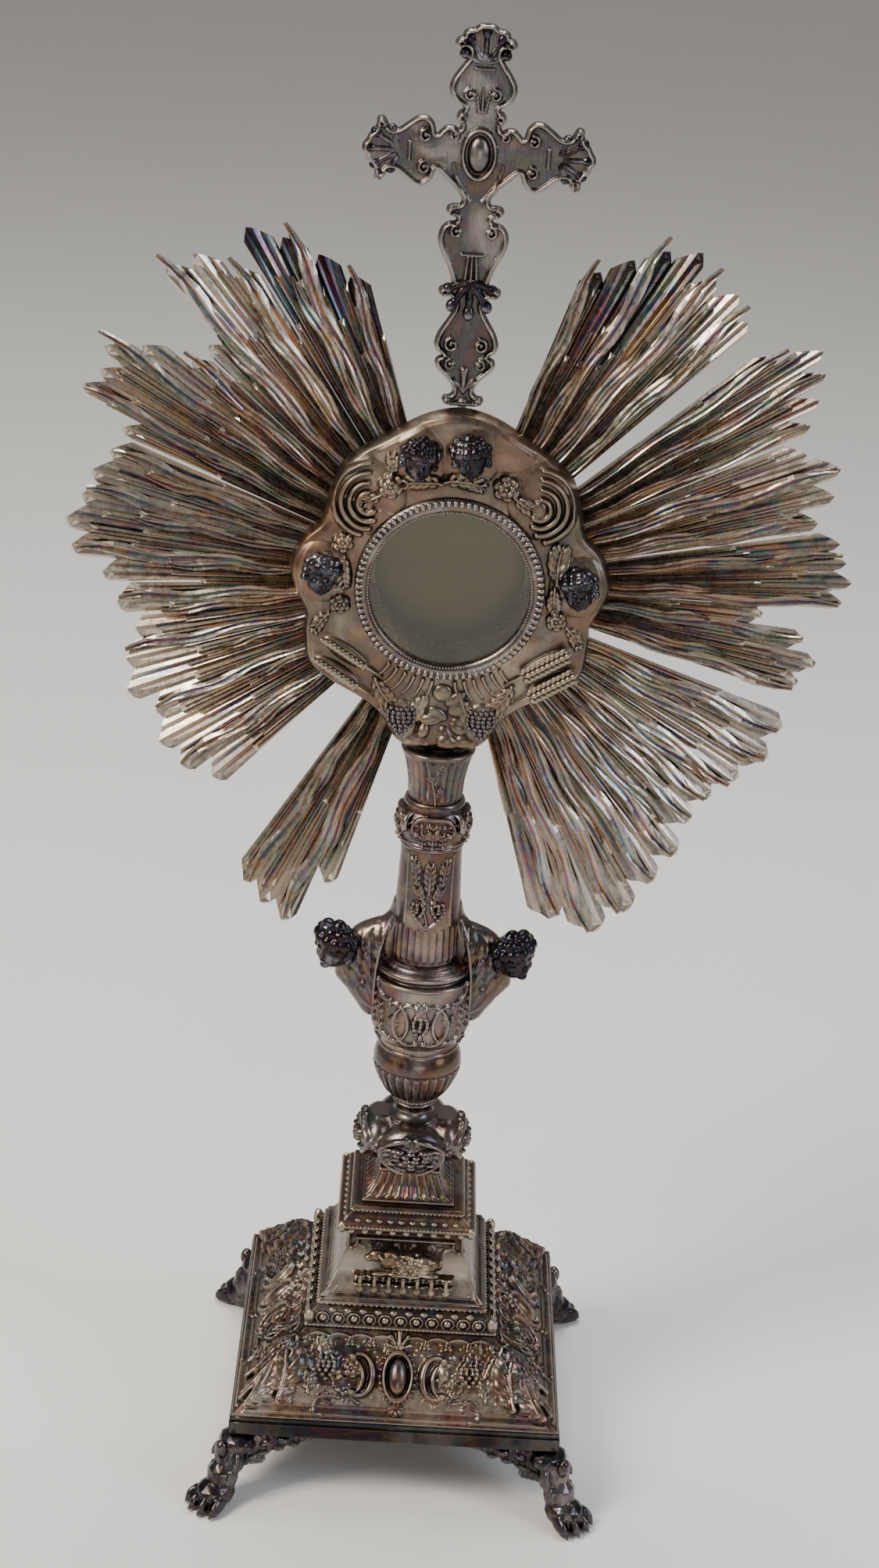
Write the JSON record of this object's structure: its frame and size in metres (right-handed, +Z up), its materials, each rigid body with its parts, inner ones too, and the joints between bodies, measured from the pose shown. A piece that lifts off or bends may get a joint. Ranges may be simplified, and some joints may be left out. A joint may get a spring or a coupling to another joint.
{
  "type": "monstrance",
  "caption": "Footed altar stand with a square base and baluster stem that carries a round glazed case with a rear door, framed by a cloud and rays, under a cross.",
  "frame": {"origin": "bottom centre, on the floor under the tie rod", "axes": "+Z up, -Y towards the front of the glazed case, +X to the viewer's right"},
  "size_m": [0.3325, 0.1864, 0.6518],
  "materials": {
    "silver_dark": "silver plate, dark tarnish, satin",
    "silver_base": "stamped silver plate with warm tarnish, satin",
    "silver_cast": "cast silver plate, dark tarnish, worn bright edges",
    "silver_stem": "silver plate with warm tarnish, satin",
    "silver_cloud": "stamped silver plate, brown tarnish",
    "silver_rays": "stamped silver plate, iridescent tarnish",
    "silver_cross": "stamped silver plate, grey tarnish",
    "silver_case": "spun silver plate, light tarnish",
    "gilt": "gilt, dull",
    "clear_glass": "clear flat glass",
    "steel_rod": "plain steel",
    "brass_screws": "plain brass"
  },
  "bodies": {
    "root": {"base_plinth": "silver_dark", "bottom_plate": "silver_dark", "lower_pyramid": "silver_base", "middle_cornice": "silver_base", "pedestal_body": "silver_base", "upper_cornice": "silver_base", "fluted_neck": "silver_base", "paw_foot_front_left": "silver_cast", "paw_foot_front_right": "silver_cast", "paw_foot_rear_right": "silver_cast", "paw_foot_rear_left": "silver_cast", "seven_seal_book": "silver_cast", "lamb": "silver_cast", "cherub_head_left": "silver_cast", "cherub_head_right": "silver_cast", "cloud_cherub_heads": "silver_cast", "grape_and_wheat_trim": "silver_cast", "knop": "silver_stem", "saucer_collar": "silver_stem", "milled_ring": "silver_stem", "stem_vase": "silver_stem", "stem_cup": "silver_stem", "stem_column": "silver_stem", "cherub_shoulder_left": "silver_stem", "cherub_shoulder_right": "silver_stem", "ionic_collar": "silver_stem", "upper_column": "silver_stem", "glory_front": "silver_cloud", "glory_back": "silver_cloud", "ray_bundle_01": "silver_rays", "ray_bundle_02": "silver_rays", "ray_bundle_03": "silver_rays", "ray_bundle_04": "silver_rays", "ray_bundle_05": "silver_rays", "ray_bundle_06": "silver_rays", "ray_bundle_07": "silver_rays", "ray_bundle_08": "silver_rays", "ray_bundle_09": "silver_rays", "ray_bundle_10": "silver_rays", "ray_bundle_11": "silver_rays", "ray_bundle_12": "silver_rays", "ray_ring": "silver_rays", "cross": "silver_cross", "luna_drum": "silver_case", "bezel_ring": "silver_case", "hinge_leaf_fixed": "silver_case", "glass_retainer": "gilt", "lunula_seat": "gilt", "front_glass": "clear_glass", "tie_rod": "steel_rod", "tie_rod_nut": "steel_rod", "tie_rod_washer": "steel_rod", "foot_screws": "brass_screws", "glory_screws": "brass_screws", "hinge_pin": "brass_screws", "turn_button_screw": "brass_screws"},
    "rear_door": {"door_frame": "silver_case", "door_disc": "silver_case", "hinge_leaf_door": "silver_case"},
    "turn_button": {"turn_button": "silver_case"}
  },
  "joints": [
    {"name": "door_hinge", "type": "hinge", "parent": "root", "child": "rear_door", "pos_m": [0.0435, 0.013, 0.423], "axis": [0, 0, -1], "range_deg": [0, 150]},
    {"name": "button_turn", "type": "hinge", "parent": "root", "child": "turn_button", "pos_m": [-0.0475, 0.01525, 0.423], "axis": [0, -1, 0], "range_deg": [0, 90]}
  ]
}
